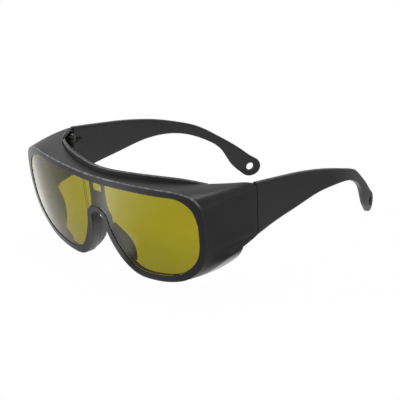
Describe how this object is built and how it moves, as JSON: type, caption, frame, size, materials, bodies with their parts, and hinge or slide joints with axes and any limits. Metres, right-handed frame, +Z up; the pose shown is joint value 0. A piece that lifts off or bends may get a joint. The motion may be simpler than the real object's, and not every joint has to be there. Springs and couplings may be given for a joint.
{
  "type": "safety glasses",
  "caption": "Wrap-round over-glasses with a tinted one-piece lens, roof, side shields, nose pads and folding temples that shield the eyes from light and flying bits.",
  "frame": {"origin": "middle of the footprint, on the surface that the open glasses stand on", "axes": "the lens faces -Y and the temples run back along +Y, +X is the right side as seen from the front, +Z up"},
  "size_m": [0.16, 0.1806, 0.0607],
  "materials": {
    "frame_black": "satin black moulding",
    "filter_olive": "clear olive-yellow filter sheet",
    "brow_black": "soft matt black strip",
    "cheek_black": "smooth black flap",
    "pad_grey": "soft dark grey pad",
    "temple_black": "satin black moulding",
    "screw_steel": "blackened steel"
  },
  "bodies": {
    "front": {"front_frame": "frame_black", "filter_lens": "filter_olive", "brow_guard": "brow_black", "cheek_guard_right": "cheek_black", "cheek_guard_left": "cheek_black", "nose_pad_right": "pad_grey", "nose_pad_left": "pad_grey", "hinge_screw_right": "screw_steel", "hinge_screw_left": "screw_steel"},
    "temple_right": {"temple_right": "temple_black"},
    "temple_left": {"temple_left": "temple_black"}
  },
  "joints": [
    {"name": "temple_right_fold", "type": "hinge", "parent": "front", "child": "temple_right", "pos_m": [0.0738, -0.0441, 0.05], "axis": [0, 0, 1], "range_deg": [0, 83]},
    {"name": "temple_left_fold", "type": "hinge", "parent": "front", "child": "temple_left", "pos_m": [-0.0738, -0.0441, 0.05], "axis": [0, 0, -1], "range_deg": [0, 75]}
  ]
}
